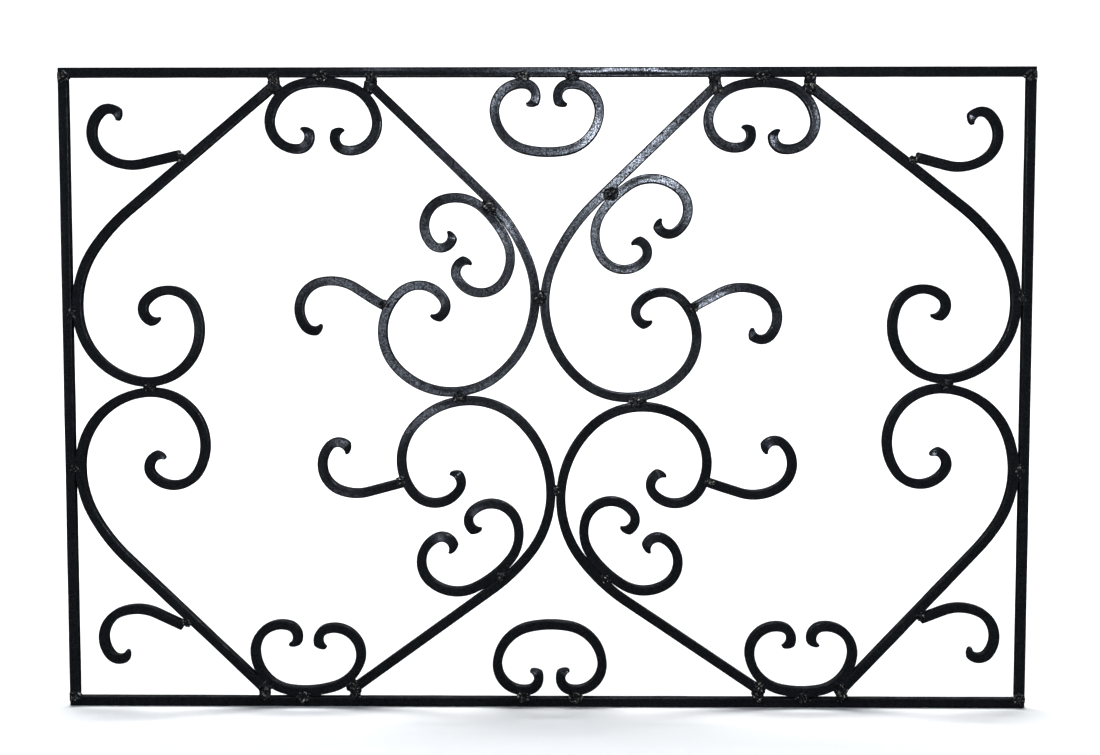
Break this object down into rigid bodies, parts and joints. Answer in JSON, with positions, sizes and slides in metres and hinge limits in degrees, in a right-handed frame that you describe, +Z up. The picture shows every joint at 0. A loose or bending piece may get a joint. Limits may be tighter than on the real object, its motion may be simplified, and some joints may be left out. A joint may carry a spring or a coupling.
{
  "type": "window security bar",
  "caption": "Flat welded window grille of square steel bar: a rectangular frame filled with heart scrolls, C-scrolls and small curled branches.",
  "frame": {"origin": "centre of the grille, in the middle of the bars' depth", "axes": "+X to the right along the rails, +Z up along the stiles, -Y out of the front face that the picture shows, +Y out of the back face"},
  "size_m": [1.04, 0.0117, 0.69],
  "materials": {
    "bar_paint": "semi-gloss black paint with a fine orange-peel texture",
    "weld_paint": "glossy black paint over lumpy weld beads"
  },
  "bodies": {
    "root": {"bottom_centre_c_scroll": "bar_paint", "bottom_left_corner_branch": "bar_paint", "bottom_left_heart_c_scroll": "bar_paint", "bottom_left_inner_branch": "bar_paint", "bottom_left_inner_scroll": "bar_paint", "bottom_left_outer_scroll": "bar_paint", "bottom_left_rail_c_scroll": "bar_paint", "bottom_rail": "bar_paint", "bottom_right_corner_branch": "bar_paint", "bottom_right_heart_c_scroll": "bar_paint", "bottom_right_inner_branch": "bar_paint", "bottom_right_inner_scroll": "bar_paint", "bottom_right_outer_scroll": "bar_paint", "bottom_right_rail_c_scroll": "bar_paint", "left_stile": "bar_paint", "right_stile": "bar_paint", "top_centre_c_scroll": "bar_paint", "top_left_corner_branch": "bar_paint", "top_left_heart_c_scroll": "bar_paint", "top_left_inner_branch": "bar_paint", "top_left_inner_scroll": "bar_paint", "top_left_outer_scroll": "bar_paint", "top_left_rail_c_scroll": "bar_paint", "top_rail": "bar_paint", "top_right_corner_branch": "bar_paint", "top_right_heart_c_scroll": "bar_paint", "top_right_inner_branch": "bar_paint", "top_right_inner_scroll": "bar_paint", "top_right_outer_scroll": "bar_paint", "top_right_rail_c_scroll": "bar_paint", "weld_bottom_inner_scrolls": "weld_paint", "weld_bottom_left_corner_branch": "weld_paint", "weld_bottom_left_heart_c_scroll": "weld_paint", "weld_bottom_left_inner_branch": "weld_paint", "weld_bottom_left_inner_foot": "weld_paint", "weld_bottom_left_outer_foot": "weld_paint", "weld_bottom_left_stile": "weld_paint", "weld_bottom_right_corner_branch": "weld_paint", "weld_bottom_right_heart_c_scroll": "weld_paint", "weld_bottom_right_inner_branch": "weld_paint", "weld_bottom_right_inner_foot": "weld_paint", "weld_bottom_right_outer_foot": "weld_paint", "weld_bottom_right_stile": "weld_paint", "weld_left_inner_scrolls": "weld_paint", "weld_left_outer_scrolls": "weld_paint", "weld_right_inner_scrolls": "weld_paint", "weld_right_outer_scrolls": "weld_paint", "weld_top_inner_scrolls": "weld_paint", "weld_top_left_corner_branch": "weld_paint", "weld_top_left_heart_c_scroll": "weld_paint", "weld_top_left_inner_branch": "weld_paint", "weld_top_left_inner_foot": "weld_paint", "weld_top_left_outer_foot": "weld_paint", "weld_top_left_stile": "weld_paint", "weld_top_right_corner_branch": "weld_paint", "weld_top_right_heart_c_scroll": "weld_paint", "weld_top_right_inner_branch": "weld_paint", "weld_top_right_inner_foot": "weld_paint", "weld_top_right_outer_foot": "weld_paint", "weld_top_right_stile": "weld_paint"}
  },
  "joints": []
}
